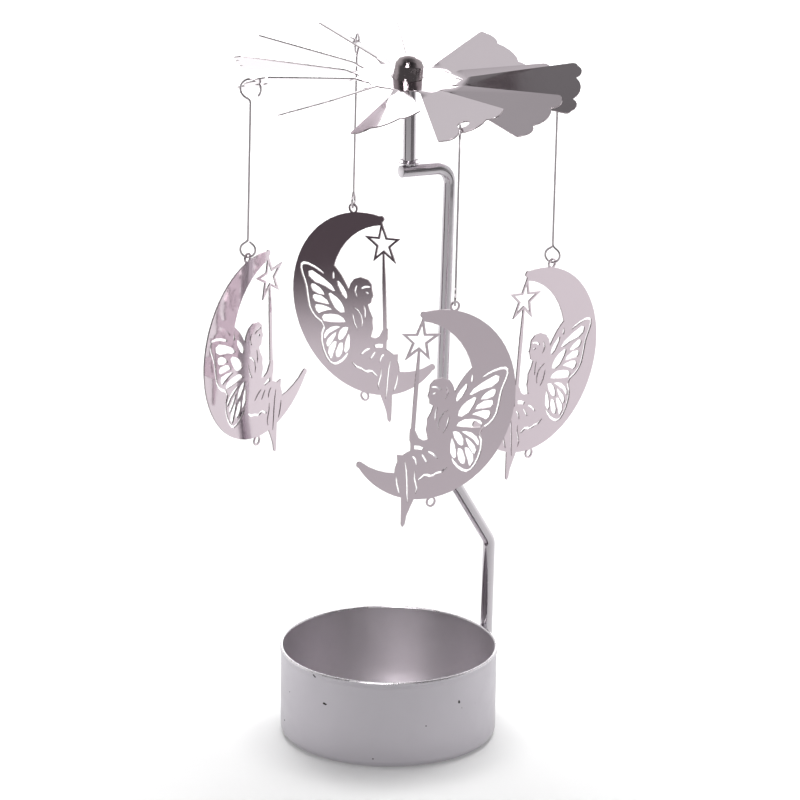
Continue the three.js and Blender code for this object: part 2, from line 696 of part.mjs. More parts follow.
// A smooth closed outline through a few grid points
function smoothOutline(shares, steps) {
  const points = shares.map(gridPoint).map((point) => new THREE.Vector3(point.x, point.y, 0));
  const curve = new THREE.CatmullRomCurve3(points, true, 'centripetal');
  return curve.getPoints(steps).slice(0, steps).map((point) => new THREE.Vector2(point.x, point.y));
}

// A strip of one width along a smooth line, with blunt tapered ends
function stripOutline(shares, widthShare, steps) {
  const line = new THREE.SplineCurve(shares.map(gridPoint));
  const left = [];
  const right = [];
  for (let i = 0; i <= steps; i += 1) {
    const point = line.getPoint(i / steps);
    const along = line.getTangent(i / steps);
    const atEnd = i === 0 || i === steps;
    const half = (widthShare * square) / (atEnd ? 4 : 2);
    left.push(new THREE.Vector2(point.x - along.y * half, point.y + along.x * half));
    right.unshift(new THREE.Vector2(point.x + along.y * half, point.y - along.x * half));
  }
  return left.concat(right);
}

function ringSheet(centre) {
  const shape = arcPoints(centre.x, centre.y, ringHoleRadius + ringWidth, 0, 360, ringSides).slice(0, ringSides);
  return sheetOf(shape);
}

function ringCutter(centre) {
  return cutterOf(arcPoints(centre.x, centre.y, ringHoleRadius, 0, 360, ringSides).slice(0, ringSides));
}

// Crescent: the moon's disc less the bay, with its horns rounded
function crescent() {
  const moon = gridPoint(moonCentreShares);
  const bay = gridPoint(bayCentreShares);
  const horns = hornShares.map(gridPoint);
  const hornRadius = hornRadiusShare * square;
  const angleAt = (centre, point) => THREE.MathUtils.radToDeg(point.clone().sub(centre).angle());
  const [upper, lower] = horns;
  const outerStart = angleAt(moon, upper);
  const outerEnd = angleAt(moon, lower) - 360;
  const innerStart = angleAt(bay, lower) - 360;
  const innerEnd = angleAt(bay, upper);
  const outline = [
    ...arcPoints(moon.x, moon.y, moonDiameter / 2, outerStart, outerEnd, moonArcSteps),
    ...arcPoints(bay.x, bay.y, bayRadiusShare * square, innerStart, innerEnd, bayArcSteps),
  ];
  const tips = horns.map((horn) => sheetOf(arcPoints(horn.x, horn.y, hornRadius, 0, 360, ringSides).slice(0, ringSides)));
  return [sheetOf(outline), ...tips];
}

function starOutline(scale) {
  const points = [];
  for (let i = 0; i < starPoints * 2; i += 1) {
    const reach = (i % 2 === 0 ? starReachShare : starWaistShare) * square * scale;
    const angle = radians(starTurn + (180 / starPoints) * i);
    const centre = gridPoint(starCentreShares);
    points.push(new THREE.Vector2(centre.x + reach * Math.cos(angle), centre.y + reach * Math.sin(angle)));
  }
  return points;
}

function charmGeometry() {
  const footRing = ringCentre(footRingAngle).sub(ringCentre(eyeRingAngle));
  const eyeRing = new THREE.Vector2();
  const sheets = [
    ...crescent(),
    sheetOf(figureShares.map(gridPoint)),
    sheetOf(wingPanelShares.map(gridPoint)),
    sheetOf(footShares.map(gridPoint)),
    sheetOf(stripOutline(wandShares, wandWidthShare, fineSlotSteps)),
    sheetOf(starOutline(1)),
    ringSheet(eyeRing),
    ringSheet(footRing),
  ];
  const cutters = [
    ...wingCellShares.map((cell) => cutterOf(smoothOutline(cell, cellSteps))),
    ...fineSlotShares.map((slot) => cutterOf(stripOutline(slot, fineSlotWidthShare, fineSlotSteps))),
    cutterOf(stripOutline(wingBandShares, wingBandWidthShare, wingBandSteps)),
    cutterOf(stripOutline(hemShares, hemWidthShare, hemShares.length)),
    cutterOf(elbowGapShares.map(gridPoint)),
    cutterOf(starOutline(starFrameShare)),
    ringCutter(eyeRing),
    ringCutter(footRing),
  ];
  return toGeometry(joined(sheets).subtract(joined(cutters)));
}

// Stand: everything in the mast's plane shares one turned group
addPiece(group, 'tealight_cup', cupGeometry(), satinSteel());
const mastPlane = new THREE.Group();
mastPlane.rotation.z = radians(mastAzimuth);
group.add(mastPlane);
addPiece(mastPlane, 'mast_rod', mastGeometry(), chrome());
addPiece(mastPlane, 'mast_weld', weldGeometry(), satinSteel());
addPiece(mastPlane, 'needle_post', postGeometry(), chrome());
addPiece(mastPlane, 'post_collar', collarGeometry(), darkChrome());

// Rotor
const needleTip = new THREE.Vector3(needleAxisRadius, 0, needleTipHeight());
needleTip.applyAxisAngle(new THREE.Vector3(0, 0, 1), radians(mastAzimuth));
const hubCentre = needleTip.clone().add(new THREE.Vector3(-hubOffset, 0, -hubDrop));
const fanFrame = new THREE.Group();
fanFrame.position.copy(hubCentre);
fanFrame.rotation.set(-radians(fanNearSideUp), radians(fanRightSideDown), 0);
group.add(fanFrame);
addPiece(fanFrame, 'fan_rotor', fanGeometry(), mauveSteel());
const capFrame = new THREE.Group();
capFrame.position.copy(hubCentre);
capFrame.rotation.set(-radians(fanNearSideUp), radians(fanRightSideDown + capExtraLean), 0);
group.add(capFrame);
addPiece(capFrame, 'pivot_cap', capGeometry(), darkChrome());
fanFrame.updateMatrixWorld();

// Hangers and charms: each hook has slid to the low side of its hole
const sideNames = ['front', 'right', 'back', 'left'];
const hangerSheet = rodAlong(hangerPath(), bendSteps, wireRadius, wireSides);
const charmSheetGeometry = charmGeometry();
sideNames.forEach((side, i) => {
  const number = hookedBlades[i];
  const seat = hookSeats[i];
  const limbFlat = new THREE.Vector3(hookHoleReach + seat.along, hookHoleOffset + seat.across, 0);
  const limb = fanFrame.localToWorld(onBlade(limbFlat, number));
  const azimuth = bladeAzimuth(number) + seat.turn;
  const chord = Math.sqrt(hookRadius ** 2 - seat.depth ** 2);
  const hanger = new THREE.Group();
  hanger.position.set(
    limb.x + chord * Math.cos(radians(azimuth)),
    limb.y + chord * Math.sin(radians(azimuth)),
    limb.z - seat.depth,
  );
  hanger.rotation.set(0, radians(hangerLean), radians(azimuth), 'YZX');
  hanger.updateMatrixWorld();
  group.add(hanger);
  addPiece(hanger, `hanger_wire_${side}`, hangerSheet.clone(), chrome());
  const charm = new THREE.Group();
  charm.position.copy(hanger.localToWorld(new THREE.Vector3(0, 0, -hangerDrop)));
  charm.rotation.set(-radians(charmLeans[i]), -radians(charmRolls[i]), radians(charmAzimuths[i]), 'ZXY');
  group.add(charm);
  addPiece(charm, `moon_charm_${side}`, charmSheetGeometry.clone(), mauveSteel());
});

export default group;
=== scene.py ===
import json
import math

import bpy
from mathutils import Matrix, Vector


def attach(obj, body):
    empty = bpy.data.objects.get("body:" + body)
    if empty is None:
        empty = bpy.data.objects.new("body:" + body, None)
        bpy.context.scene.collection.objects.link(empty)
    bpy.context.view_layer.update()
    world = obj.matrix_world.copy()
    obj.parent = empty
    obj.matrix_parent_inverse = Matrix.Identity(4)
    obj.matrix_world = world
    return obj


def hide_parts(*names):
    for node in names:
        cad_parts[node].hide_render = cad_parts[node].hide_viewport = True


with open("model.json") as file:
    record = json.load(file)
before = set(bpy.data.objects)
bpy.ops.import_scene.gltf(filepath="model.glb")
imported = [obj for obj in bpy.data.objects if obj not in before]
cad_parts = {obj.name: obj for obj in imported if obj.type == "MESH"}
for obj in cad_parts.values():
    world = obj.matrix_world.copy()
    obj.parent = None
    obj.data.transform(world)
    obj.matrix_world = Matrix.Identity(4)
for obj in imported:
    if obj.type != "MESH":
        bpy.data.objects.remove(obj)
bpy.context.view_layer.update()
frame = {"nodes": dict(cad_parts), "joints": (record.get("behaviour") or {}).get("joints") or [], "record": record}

mm = 0.001
weldDistance = 0.001 * mm
sides = ("front", "right", "back", "left")

bpy.context.scene.view_settings.view_transform = "Standard"

# Camera, at the photograph's angle. Lengths are in metres, angles in degrees, lens and sensor in mm.
cameraSet = {
    "target": (0.001618, 0.0, 0.065847),
    "distance": 1.2463,
    "elevation": 18.957,
    "roll": 0.631,
    "lens": 301.46,
    "sensorWidth": 36,
    "nearest": 0.05,
}


def placeCamera(made):
    tilt = math.radians(made["elevation"])
    roll = math.radians(made["roll"])
    ahead = Vector((0, math.cos(tilt), -math.sin(tilt)))
    level = Vector((1, 0, 0))
    upright = level.cross(ahead)
    across = level * math.cos(roll) + upright * math.sin(roll)
    above = upright * math.cos(roll) - level * math.sin(roll)
    spot = Vector(made["target"]) - ahead * made["distance"]
    bpy.ops.object.camera_add(location=spot)
    camera = bpy.context.object
    camera.name = "photo_camera"
    camera.data.lens = made["lens"]
    camera.data.sensor_width = made["sensorWidth"]
    camera.data.clip_start = made["nearest"]
    turn = Matrix((across, above, -ahead)).transposed()
    camera.matrix_world = Matrix.Translation(spot) @ turn.to_4x4()
    bpy.context.scene.camera = camera


placeCamera(cameraSet)
print("camera placed")


# Shader work: a wire is one output of a node, and sums of wires add Math nodes
class Wire:
    def __init__(self, finish, socket):
        self.finish = finish
        self.socket = socket

    def reckon(self, operation, first, second):
        return self.finish.add("ShaderNodeMath", {0: first, 1: second}, operation=operation)

    def __add__(self, other):
        return self.reckon("ADD", self, other)

    __radd__ = __add__

    def __sub__(self, other):
        return self.reckon("SUBTRACT", self, other)

    def __rsub__(self, other):
        return self.reckon("SUBTRACT", other, self)

    def __mul__(self, other):
        return self.reckon("MULTIPLY", self, other)

    __rmul__ = __mul__

    def clipped(self, low, high, toLow=0.0, toHigh=1.0):
        made = {"Value": self, "From Min": low, "From Max": high, "To Min": toLow, "To Max": toHigh}
        return self.finish.add("ShaderNodeMapRange", made, interpolation_type="SMOOTHSTEP")


class Finish:
    def __init__(self, owner):
        owner.use_nodes = True
        self.owner = owner
        self.tree = owner.node_tree
        self.tree.nodes.clear()

    # Settings come first, because they change which sockets a node has
    def add(self, kind, sockets=None, output=0, **settings):
        node = self.tree.nodes.new(kind)
        for name, value in settings.items():
            setattr(node, name, value)
        for name, value in (sockets or {}).items():
            socket = node.inputs[name]
            if isinstance(value, Wire):
                self.tree.links.new(value.socket, socket)
            else:
                socket.default_value = value
        return Wire(self, node.outputs[output])

    def noise(self, place, size, detail, seed):
        made = {"Vector": place, "Scale": 1 / size, "Detail": detail, "W": seed}
        return self.add("ShaderNodeTexNoise", made, noise_dimensions="4D")

    # The Mix node has several sockets of one name, so its colour sockets go by number
    def blend(self, mask, first, second):
        firstColour, secondColour, mixedColour = 6, 7, 2
        made = {"Factor": mask}
        for socket, colour in ((firstColour, first), (secondColour, second)):
            made[socket] = (*colour, 1) if isinstance(colour, tuple) else colour
        return self.add("ShaderNodeMix", made, output=mixedColour, data_type="RGBA")

    def finishWith(self, shader, kind="ShaderNodeOutputMaterial"):
        node = self.tree.nodes.new(kind)
        self.tree.links.new(shader.socket, node.inputs["Surface"])
        return self.owner


# What all the metals share: each noise's detail and how far its seed lies from the metal's own,
# the part of the haze that changes the gloss, and how sharp and how rough a speck is
metalSet = {
    "drift": (3, 0),
    "haze": (4, 3),
    "wave": (1, 7),
    "grain": (2, 9),
    "speck": (1, 11),
    "hazeSpan": (0.3, 0.7),
    "speckEdge": 0.02,
    "speckRoughness": 0.4,
}


# A metal: its colour and gloss drift a little, and it is never quite flat
def metalFinish(name, made):
    finish = Finish(bpy.data.materials.new(name))
    place = finish.add("ShaderNodeTexCoord", output="Object")

    def noise(kind):
        detail, seed = metalSet[kind]
        return finish.noise(place, made[kind + "Size"], detail, made["seed"] + seed)

    drift = noise("drift")
    haze = noise("haze")
    colour = finish.blend(drift, made["colour"], made["otherColour"])
    rough = haze.clipped(*metalSet["hazeSpan"], *made["rough"])
    height = noise("wave") * made["wave"]
    if made["grain"]:
        grain = noise("grain")
        height = height + grain * made["grain"]
    if made["specks"]:
        speck = noise("speck")
        mark = speck.clipped(made["specks"], made["specks"] + metalSet["speckEdge"])
        colour = finish.blend(mark, colour, made["speckColour"])
        rough = rough + mark * metalSet["speckRoughness"]
    bump = finish.add("ShaderNodeBump", {"Height": height, "Strength": 1.0, "Distance": mm})
    metal = finish.add("ShaderNodeBsdfPrincipled", {
        "Base Color": colour, "Roughness": rough, "Metallic": 1.0, "Normal": bump,
    })
    return finish.finishWith(metal)


metals = {
    # Polished and plated rod
    "chrome": {
        "colour": (0.62, 0.59, 0.62), "otherColour": (0.56, 0.53, 0.56), "driftSize": 9 * mm,
        "rough": (0.07, 0.13), "hazeSize": 2 * mm, "waveSize": 5 * mm, "wave": 0.02,
        "grain": 0.0, "specks": 0.0, "seed": 1.0,
    },
    # Hard drawn wire, duller than the rod
    "wire": {
        "colour": (0.60, 0.555, 0.58), "otherColour": (0.50, 0.46, 0.48), "driftSize": 3 * mm,
        "rough": (0.14, 0.26), "hazeSize": 1 * mm, "waveSize": 2 * mm, "wave": 0.02,
        "grain": 0.0, "specks": 0.0, "seed": 1.5,
    },
    # Etched sheet of the charms, close to a mirror
    "mirrorSheet": {
        "colour": (0.645, 0.562, 0.61), "otherColour": (0.61, 0.532, 0.575), "driftSize": 14 * mm,
        "rough": (0.03, 0.055), "hazeSize": 3 * mm, "waveSize": 9 * mm, "wave": 0.008,
        "grain": 0.0, "specks": 0.0, "seed": 1.7,
    },
    # Pressed sheet of the fan
    "brightSheet": {
        "colour": (0.64, 0.577, 0.615), "otherColour": (0.60, 0.54, 0.575), "driftSize": 14 * mm,
        "rough": (0.08, 0.13), "hazeSize": 3 * mm, "waveSize": 9 * mm, "wave": 0.012,
        "grain": 0.0, "specks": 0.0, "seed": 2.0,
    },
    # Sheared or etched edges of the sheet
    "cutEdge": {
        "colour": (0.50, 0.435, 0.46), "otherColour": (0.40, 0.35, 0.37), "driftSize": 2 * mm,
        "rough": (0.22, 0.4), "hazeSize": 0.6 * mm, "waveSize": 1 * mm, "wave": 0.02,
        "grain": 0.01, "grainSize": 0.15 * mm, "specks": 0.0, "seed": 3.0,
    },
    # The pivot cap, plated dark over an uneven surface
    "darkChrome": {
        "colour": (0.40, 0.345, 0.36), "otherColour": (0.29, 0.25, 0.262), "driftSize": 3 * mm,
        "rough": (0.04, 0.12), "hazeSize": 1 * mm, "waveSize": 2 * mm, "wave": 0.12,
        "grain": 0.055, "grainSize": 0.6 * mm, "specks": 0.0, "seed": 4.0,
    },
    # Deep drawn cup, outside
    "satinSteel": {
        "colour": (0.60, 0.575, 0.615), "otherColour": (0.55, 0.525, 0.565), "driftSize": 16 * mm,
        "rough": (0.29, 0.38), "hazeSize": 2.5 * mm, "waveSize": 7 * mm, "wave": 0.02,
        "grain": 0.006, "grainSize": 0.25 * mm, "specks": 0.75, "speckSize": 1.6 * mm,
        "speckColour": (0.09, 0.08, 0.085), "seed": 5.0,
    },
    # Inside of the cup, duller and more scattering. Its colour is lighter than the outside's: painted light,
    # standing in for the brightness that gathers inside the cup
    "cupInside": {
        "colour": (0.67, 0.635, 0.665), "otherColour": (0.61, 0.58, 0.605), "driftSize": 12 * mm,
        "rough": (0.41, 0.49), "hazeSize": 2 * mm, "waveSize": 6 * mm, "wave": 0.02,
        "grain": 0.006, "grainSize": 0.25 * mm, "specks": 0.0, "seed": 5.5,
    },
    # The rim, worn bright, and its colour painted brighter still: a painted highlight along the rolled bead
    "wornAndHighlightedRim": {
        "colour": (0.85, 0.82, 0.85), "otherColour": (0.72, 0.69, 0.72), "driftSize": 3 * mm,
        "rough": (0.22, 0.34), "hazeSize": 1.5 * mm, "waveSize": 3 * mm, "wave": 0.01,
        "grain": 0.0, "specks": 0.0, "seed": 5.8,
    },
    # The fillet at the mast's foot, lumpy and darkened by heat
    "braze": {
        "colour": (0.46, 0.43, 0.43), "otherColour": (0.33, 0.30, 0.30), "driftSize": 1.5 * mm,
        "rough": (0.18, 0.4), "hazeSize": 0.8 * mm, "waveSize": 1.2 * mm, "wave": 0.15,
        "grain": 0.02, "grainSize": 0.3 * mm, "specks": 0.0, "seed": 6.0,
    },
}
finishes = {name: metalFinish(name, made) for name, made in metals.items()}
print("finishes made:", ", ".join(finishes))


# Workshop: how the new pieces are made. Their sizes are in mm and their angles in degrees.
def clearSelection():
    if bpy.context.object and bpy.context.object.mode != "OBJECT":
        bpy.ops.object.mode_set(mode="OBJECT")
    bpy.ops.object.select_all(action="DESELECT")


def selectOnly(piece):
    clearSelection()
    piece.select_set(True)
    bpy.context.view_layer.objects.active = piece


def startPiece(name):
    piece = bpy.context.object
    piece.name = name
    piece.data.name = name
    bpy.ops.object.mode_set(mode="EDIT")
    bpy.ops.mesh.select_all(action="SELECT")
    return piece


# Doubles are merged and the faces turned outwards
def closeShell():
    bpy.ops.mesh.select_all(action="SELECT")
    bpy.ops.mesh.remove_doubles(threshold=weldDistance)
    bpy.ops.mesh.normals_make_consistent(inside=False)
    bpy.ops.object.mode_set(mode="OBJECT")


# An outline of (radius, height) points is drawn from one vertex and spun round Z
def turnOnLathe(name, outline, steps):
    clearSelection()
    bpy.ops.mesh.primitive_plane_add(size=mm)
    piece = startPiece(name)
    bpy.ops.mesh.merge(type="CENTER")
    bpy.ops.transform.translate(value=(outline[0][0] * mm, 0, outline[0][1] * mm))
    for last, point in zip(outline, outline[1:]):
        step = ((point[0] - last[0]) * mm, 0, (point[1] - last[1]) * mm)
        bpy.ops.mesh.extrude_vertices_move(TRANSFORM_OT_translate={"value": step})
    bpy.ops.mesh.select_all(action="SELECT")
    bpy.ops.mesh.spin(steps=steps, angle=math.tau, center=(0, 0, 0), axis=(0, 0, 1))
    closeShell()
    return piece


def arc(centre, radius, start, end, steps):
    angles = [math.radians(start + (end - start) * i / steps) for i in range(steps + 1)]
    return [(centre[0] + radius * math.cos(a), centre[1] + radius * math.sin(a)) for a in angles]


# A disc is drawn along straight runs and spun round the bends, as a wire bender works, in the XZ plane
def bendRod(name, made, runs):
    clearSelection()
    heading = math.radians(made["heading"])
    spot = Vector((made["start"][0], 0, made["start"][1])) * mm
    bpy.ops.mesh.primitive_circle_add(
        vertices=made["sides"], radius=made["radius"] * mm, fill_type="NGON",
        location=spot, rotation=(0, math.pi / 2 - heading, 0),
    )
    bpy.ops.object.transform_apply(location=True, rotation=True, scale=True)
    piece = startPiece(name)
    for length, bendRadius, turn in runs:
        ahead = Vector((math.cos(heading), 0, math.sin(heading)))
        if length:
            bpy.ops.mesh.extrude_region_move(TRANSFORM_OT_translate={"value": ahead * length * mm})
            spot = spot + ahead * length * mm
        if turn:
            inward = Vector((-ahead.z, 0, ahead.x)) * math.copysign(bendRadius * mm, turn)
            middle = spot + inward
            steps = math.ceil(abs(turn) / made["degreesEachStep"])
            bpy.ops.mesh.spin(steps=steps, angle=math.radians(turn), center=middle, axis=(0, 1, 0))
            spot = middle + Matrix.Rotation(-math.radians(turn), 3, "Y") @ (spot - middle)
            heading += math.radians(turn)
    closeShell()
    return piece


# Straight runs and bends of one radius that lead past a row of corners
def runsPast(corners, bendRadius):
    points = [Vector(corner) for corner in corners]
    runs = []
    spare = 0
    for last, corner, following in zip(points, points[1:], points[2:]):
        turn = (following - corner).angle_signed(corner - last)
        cut = bendRadius * math.tan(abs(turn) / 2)
        runs.append(((corner - last).length - spare - cut, bendRadius, math.degrees(turn)))
        spare = cut
    runs.append(((points[-1] - points[-2]).length - spare, 0, 0))
    return runs


# Edges sharper than the angle are rounded
def softenEdges(piece, width, angle=50, segments=2):
    selectOnly(piece)
    bevel = piece.modifiers.new("edges", "BEVEL")
    bevel.width = width * mm
    bevel.segments = segments
    bevel.limit_method = "ANGLE"
    bevel.angle_limit = math.radians(angle)
    bpy.ops.object.modifier_apply(modifier=bevel.name)


# The piece goes to its place, its place goes into its mesh, and it stands for its node
def setInPlace(piece, node, finishNames, place=None, smooth=32):
    selectOnly(piece)
    if place is not None:
        piece.matrix_world = place
        bpy.ops.object.transform_apply(location=True, rotation=True, scale=True)
    bpy.ops.object.shade_smooth_by_angle(angle=math.radians(smooth))
    if len(piece.data.materials) == 0:
        for finishName in finishNames:
            piece.data.materials.append(finishes[finishName])
    for body, members in frame["record"]["behaviour"]["bodies"].items():
        if node in members:
            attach(piece, body)
    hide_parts(node)
    return piece


# The node's own mesh, merged into one surface, with places for the finish of its faces and of its edges
broadFaces, cutEdges = 0, 1


def copySheet(node, name, faceFinish="brightSheet"):
    mesh = frame["nodes"][node].data.copy()
    piece = bpy.data.objects.new(name, mesh)
    bpy.context.scene.collection.objects.link(piece)
    selectOnly(piece)
    mesh.materials.clear()
    mesh.materials.append(finishes[faceFinish])
    mesh.materials.append(finishes["cutEdge"])
    bpy.ops.mesh.customdata_custom_splitnormals_clear()
    bpy.ops.object.mode_set(mode="EDIT")
    bpy.ops.mesh.select_all(action="SELECT")
    bpy.ops.mesh.remove_doubles(threshold=weldDistance)
    bpy.ops.object.mode_set(mode="OBJECT")
    return piece


# Faces that lie level with each other become one, the edges are eased, and the sheet stands for its node
def setSheetInPlace(sheet, node, made):
    bpy.ops.object.mode_set(mode="EDIT")
    bpy.ops.mesh.select_all(action="SELECT")
    bpy.ops.mesh.dissolve_limited(angle_limit=math.radians(made["levelWithin"]), delimit={"MATERIAL"})
    bpy.ops.object.mode_set(mode="OBJECT")
    softenEdges(sheet, made["bevel"], made["edgeAngle"], made["bevelSegments"])
    return setInPlace(sheet, node, [], smooth=made["smooth"])


mastAngle = math.radians(33)
mastPlace = Matrix.Rotation(mastAngle, 4, "Z")
joints = {joint["name"]: joint for joint in frame["joints"]}
needleTip = Vector(joints["rotor_spin"]["pos_m"])

# Cup: outside up, over the rolled rim, and down the inside
cupMade = {
    "radius": 20.3, "wall": 0.42, "floor": 0.6, "height": 17.3, "sides": 180,
    "baseLift": 0.25, "liftInset": 4.2, "footInset": 3.6,    # the underside's middle is raised
    "corner": 1.6, "insideCorner": 1.3, "cornerSteps": 8,
    "rimRadius": 20.5, "rimBead": 0.3, "rimDrop": 1.15, "rimSteps": 10,
    "flare": 0.05, "flareStart": 0.16, "flareEnd": 0.08,    # just under the bead
    "beadDrop": 0.35, "beadTurn": -50, "beadSteps": 3,
    "ringRadius": 13, "ringDepth": 0.12, "ringFoot": 0.5, "ringCrest": 0.2,    # pressed into the floor
    "hairline": 0.02,
}


def makeCup(made):
    outer, inner = made["radius"], made["radius"] - made["wall"]
    corner, insideCorner, steps = made["corner"], made["insideCorner"], made["cornerSteps"]
    bead, beadAt = made["rimBead"], made["rimRadius"] - made["rimBead"]
    top, drop = made["height"], made["rimDrop"]
    base, lift = made["floor"], made["baseLift"]
    ring, depth, foot, crest = made["ringRadius"], made["ringDepth"], made["ringFoot"], made["ringCrest"]
    outline = [(0, lift), (outer - made["liftInset"], lift), (outer - made["footInset"], 0)]
    outline += arc((outer - corner, corner), corner, -90, 0, steps)
    outline += [(outer, top - drop - made["flareStart"])]
    outline += [(outer + made["flare"], top - drop - made["flareEnd"])]
    outline += arc((beadAt, top - bead - made["beadDrop"]), bead, made["beadTurn"], 0, made["beadSteps"])
    outline += arc((beadAt, top - bead), bead, 0, 180, made["rimSteps"])
    outline += [(inner, top - drop)]
    outline += arc((inner - insideCorner, base + insideCorner), insideCorner, 0, -90, steps)
    outline += [(ring + foot, base), (ring + crest, base + depth)]
    outline += [(ring - crest, base + depth), (ring - foot, base)]
    outline += [(0, base)]
    cup = turnOnLathe("cup_shell", outline, made["sides"])
    finishNames = ["satinSteel", "cupInside", "wornAndHighlightedRim"]
    for face in cup.data.polygons:
        reach = face.center.xy.length / mm
        height = face.center.z / mm
        # The bead takes the worn rim finish with its painted highlight, and the inner wall takes the inside
        # finish, painted lighter
        if height > top - bead:
            face.material_index = finishNames.index("wornAndHighlightedRim")
        elif height > base / 2 and reach < inner + made["hairline"]:
            face.material_index = finishNames.index("cupInside")
    return setInPlace(cup, "tealight_cup", finishNames)


makeCup(cupMade)
print("cup made")

# Mast: five runs and four bends in one upright plane
mastMade = {
    "radius": 1.16, "sides": 40, "degreesEachStep": 5, "bendRadius": 3.2, "bevel": 0.12,
    "corners": ((21.76, 3.0), (22.36, 33.9), (11.0, 52.3), (12.4, 109.1), (1.55, 110.0)),
}


def makeMast(made):
    first, second = made["corners"][:2]
    heading = math.degrees(math.atan2(second[1] - first[1], second[0] - first[0]))
    path = {**made, "start": first, "heading": heading}
    mast = bendRod("mast_bent_rod", path, runsPast(made["corners"], made["bendRadius"]))
    softenEdges(mast, made["bevel"])
    return setInPlace(mast, "mast_rod", ["chrome"], mastPlace)


makeMast(mastMade)

# Braze: the fillet between rod and cup
brazeMade = {"bevel": 0.1, "edgeAngle": 40, "smooth": 60}


def makeBraze(made):
    braze = copySheet("mast_weld", "mast_braze")
    braze.data.materials.clear()
    softenEdges(braze, made["bevel"], made["edgeAngle"])
    return setInPlace(braze, "mast_weld", ["braze"], smooth=made["smooth"])


makeBraze(brazeMade)
print("mast made")

# Post with its needle, and the dished washer that it was pressed through
postMade = {
    "reach": 3.4, "radius": 1.22, "root": 111.1, "needle": 5.0, "tipRadius": 0.2, "sides": 64,
    "shoulder": 0.25, "shoulderDrop": 0.15, "shoulderTurn": 60, "arcSteps": 4,
    "tipTurn": 20, "tipDrop": 0.05,
}
washerMade = {
    "inner": 1.24, "outer": 2.15, "seat": 111.46, "dish": 0.17, "thickness": 0.21, "sides": 72,
    "brim": 0.5, "brimRise": 0.03, "brimTopRise": 0.05, "lip": 0.05, "lipDrop": 0.02, "lipTurn": -60,
    "lipSteps": 5,
}


def postPlace():
    return mastPlace @ Matrix.Translation((postMade["reach"] * mm, 0, 0))


def makePost(made):
    tip, tipRadius = needleTip.z / mm, made["tipRadius"]
    radius, shoulder, steps = made["radius"], made["shoulder"], made["arcSteps"]
    shoulderAt = (radius - shoulder, tip - made["needle"] - made["shoulderDrop"])
    outline = [(0, made["root"]), (radius, made["root"])]
    outline += arc(shoulderAt, shoulder, 0, made["shoulderTurn"], steps)
    outline += [(tipRadius, tip - tipRadius - made["tipDrop"])]
    outline += arc((0, tip - tipRadius), tipRadius, made["tipTurn"], 90, steps)
    post = turnOnLathe("post_with_needle", outline, made["sides"])
    return setInPlace(post, "needle_post", ["chrome"], postPlace())


def makeWasher(made):
    inner, outer, seat = made["inner"], made["outer"], made["seat"]
    rim, thick = seat + made["dish"], made["thickness"]
    brimAt = outer - made["brim"]
    outline = [(inner, seat), (brimAt, seat + made["brimRise"])]
    outline += [(outer - made["lip"], rim - made["lipDrop"])]
    outline += arc((outer - thick / 2, rim + thick / 2), thick / 2, made["lipTurn"], 90, made["lipSteps"])
    outline += [(brimAt, seat + made["brimTopRise"] + thick), (inner, seat + thick), (inner, seat)]
    washer = turnOnLathe("post_washer", outline, made["sides"])
    return setInPlace(washer, "post_collar", ["chrome"], postPlace())


makePost(postMade)
makeWasher(washerMade)
print("post made")

# Pivot cap, riveted a little crooked on the hub
capMade = {
    "hubDrop": 3.35, "hubOffset": 0.5, "nearSideUp": 0.97, "rightSideDown": 8.11, "sides": 96,
    "radius": 2.8, "topRadius": 2.64, "wall": 0.45, "height": 4.25,
    "dome": 1.35, "domeShare": 0.94, "domeSteps": 14,
    "shoulder": 0.4, "shoulderTurn": 50, "shoulderSteps": 5, "shoulderLip": (0.02, 0.1),
    "flange": 0.6, "flangeDrop": 0.65, "flangeThickness": 0.3, "flangeEdge": (0.05, 0.15),
    "fillet": (0.06, 0.1),    # between the flange and the wall, across and up
    "dimple": 0.45, "seatRise": 0.3, "dimpleEdge": (0.5, 0.1), "boreDrop": 0.3,
}


def makeCap(made):
    wall, top, dome, dimple = made["wall"], made["topRadius"], made["dome"], made["dimple"]
    bottom = -made["flangeDrop"] - made["flangeThickness"]
    shoulder, shoulderAt = made["shoulder"], made["height"] - dome
    curve = (top ** 2 + dome ** 2) / (2 * dome)
    edge = math.degrees(math.asin((top - shoulder) / curve))
    seat = made["hubDrop"] + made["seatRise"]
    radius, brim, brimTop = made["radius"], made["radius"] + made["flange"], -made["flangeDrop"]
    inset, rise = made["dimpleEdge"]
    bulge, bulgeRise = made["flangeEdge"]
    across, up = made["fillet"]
    lip, lipDrop = made["shoulderLip"]
    outline = [(0, seat), (top - wall - inset, seat - dimple + rise)]
    outline += [(top - wall, seat - dimple - made["boreDrop"]), (radius - wall, bottom)]
    outline += [(brim, bottom), (brim + bulge, bottom + bulgeRise), (brim, brimTop)]
    outline += [(radius + across, brimTop), (radius, brimTop + up)]
    outline += [(top + lip, shoulderAt - shoulder - lipDrop)]
    middle = (top - shoulder, shoulderAt - shoulder)
    outline += arc(middle, shoulder, 0, made["shoulderTurn"], made["shoulderSteps"])
    outline += arc((0, made["height"] - curve), curve, 90 - edge * made["domeShare"], 90, made["domeSteps"])
    cap = turnOnLathe("cap_shell", outline, made["sides"])
    hub = needleTip + Vector((-made["hubOffset"], 0, -made["hubDrop"])) * mm
    lean = Matrix.Rotation(-math.radians(made["nearSideUp"]), 4, "X")
    tip = Matrix.Rotation(math.radians(made["rightSideDown"]), 4, "Y")
    return setInPlace(cap, "pivot_cap", ["darkChrome"], Matrix.Translation(hub) @ lean @ tip)


makeCap(capMade)
print("pivot cap made")

# Fan: its edge walls are the faces with a side about as short as the sheet is thick
fanMade = {
    "sheet": 0.25, "edgeSlack": 1.08, "levelWithin": 0.3,
    "bevel": 0.05, "edgeAngle": 60, "bevelSegments": 1, "smooth": 25,
}


